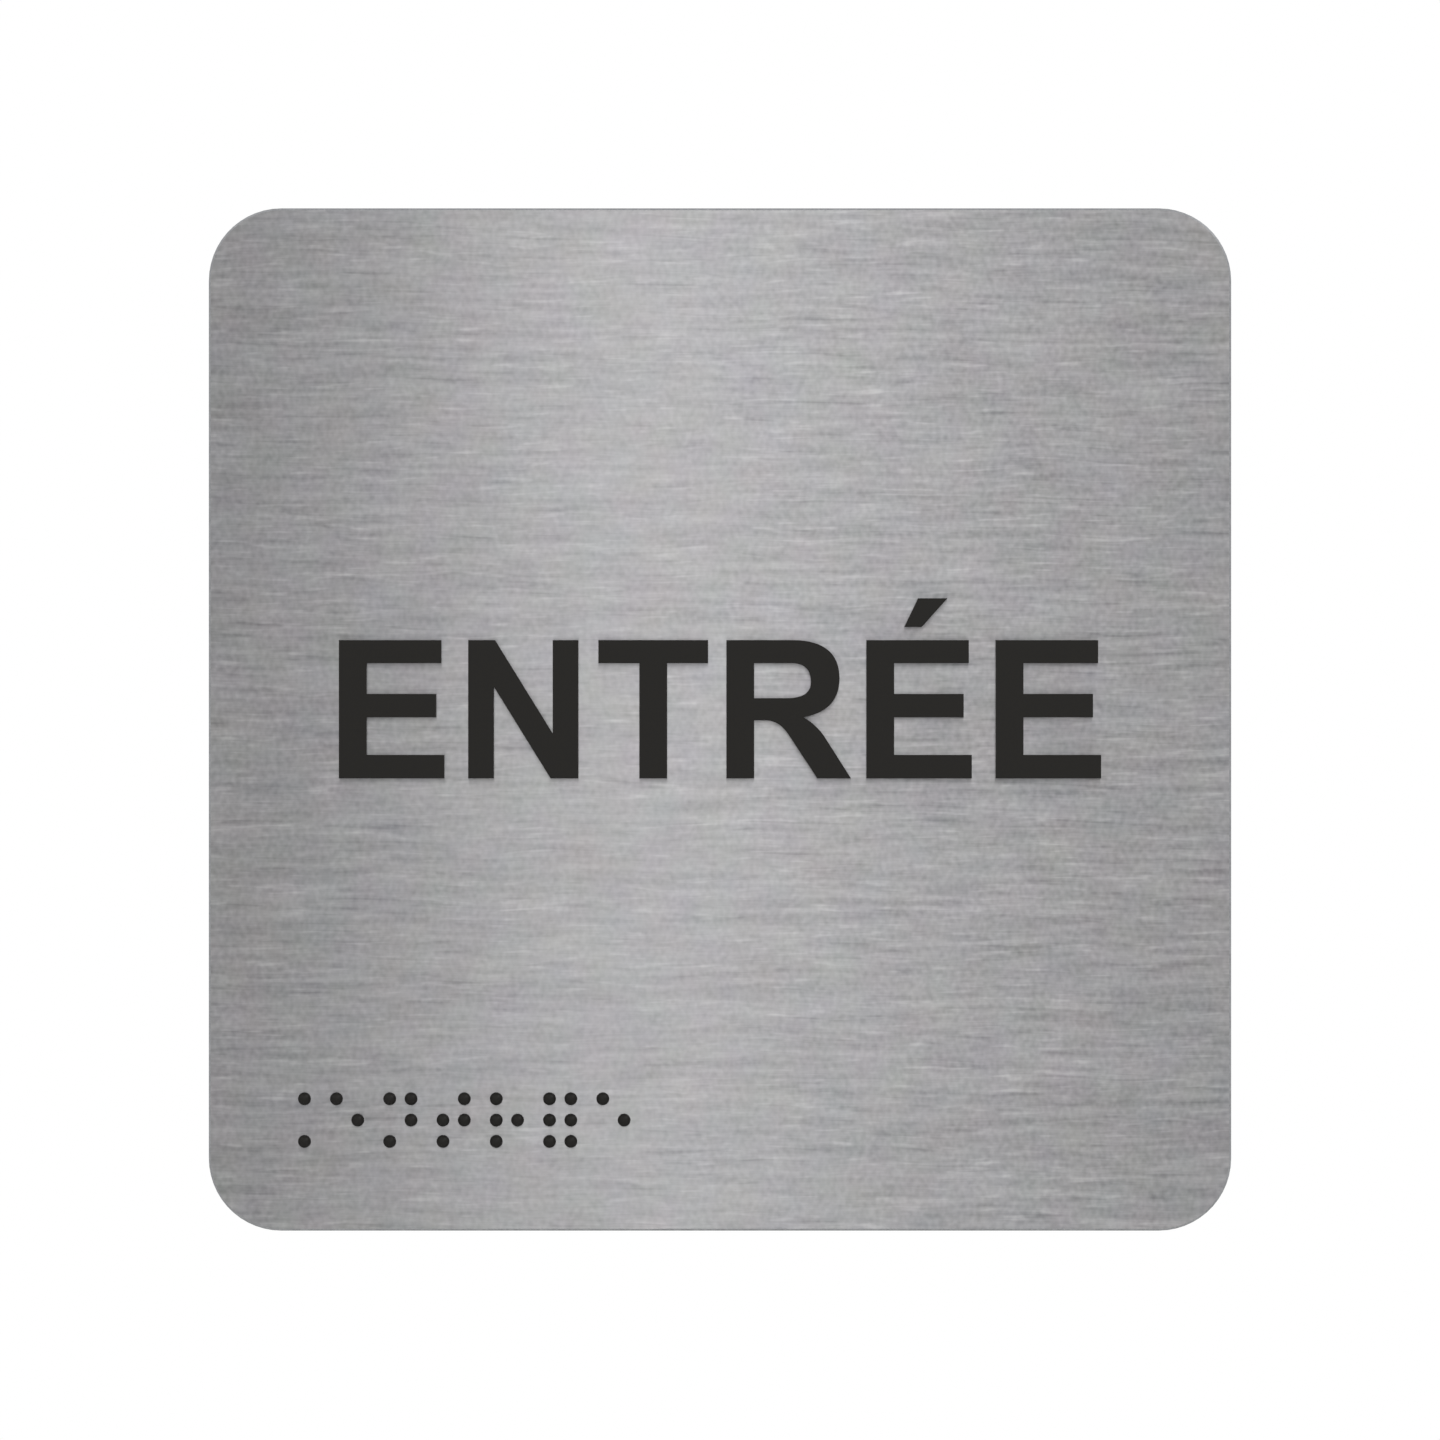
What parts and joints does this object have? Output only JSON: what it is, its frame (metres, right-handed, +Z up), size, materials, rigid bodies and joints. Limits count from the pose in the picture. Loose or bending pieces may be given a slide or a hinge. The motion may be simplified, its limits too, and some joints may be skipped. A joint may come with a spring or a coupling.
{
  "type": "braille entrance sign",
  "caption": "Square brushed aluminium door sign with round corners, a line of braille made of seated beads, and foam tape on its back.",
  "frame": {"origin": "middle of the wall plane, on the outer face of the middle strip of tape", "axes": "+Z up, +X to the reader's right, -Y out of the wall towards the reader"},
  "size_m": [0.12, 0.0037, 0.12],
  "materials": {
    "brushed_aluminium": "brushed along the width",
    "black_acrylic": "satin",
    "foam_tape": "matte"
  },
  "bodies": {
    "root": {"plate": "brushed_aluminium", "tape_left": "foam_tape", "tape_middle": "foam_tape", "tape_right": "foam_tape", "bead_cell1_dot4": "black_acrylic", "bead_cell1_dot6": "black_acrylic", "bead_cell2_dot1": "black_acrylic", "bead_cell2_dot5": "black_acrylic", "bead_cell3_dot1": "black_acrylic", "bead_cell3_dot3": "black_acrylic", "bead_cell3_dot4": "black_acrylic", "bead_cell3_dot5": "black_acrylic", "bead_cell4_dot2": "black_acrylic", "bead_cell4_dot3": "black_acrylic", "bead_cell4_dot4": "black_acrylic", "bead_cell4_dot5": "black_acrylic", "bead_cell5_dot1": "black_acrylic", "bead_cell5_dot2": "black_acrylic", "bead_cell5_dot3": "black_acrylic", "bead_cell5_dot5": "black_acrylic", "bead_cell6_dot1": "black_acrylic", "bead_cell6_dot2": "black_acrylic", "bead_cell6_dot3": "black_acrylic", "bead_cell6_dot4": "black_acrylic", "bead_cell6_dot5": "black_acrylic", "bead_cell6_dot6": "black_acrylic", "bead_cell7_dot1": "black_acrylic", "bead_cell7_dot5": "black_acrylic"}
  },
  "joints": []
}
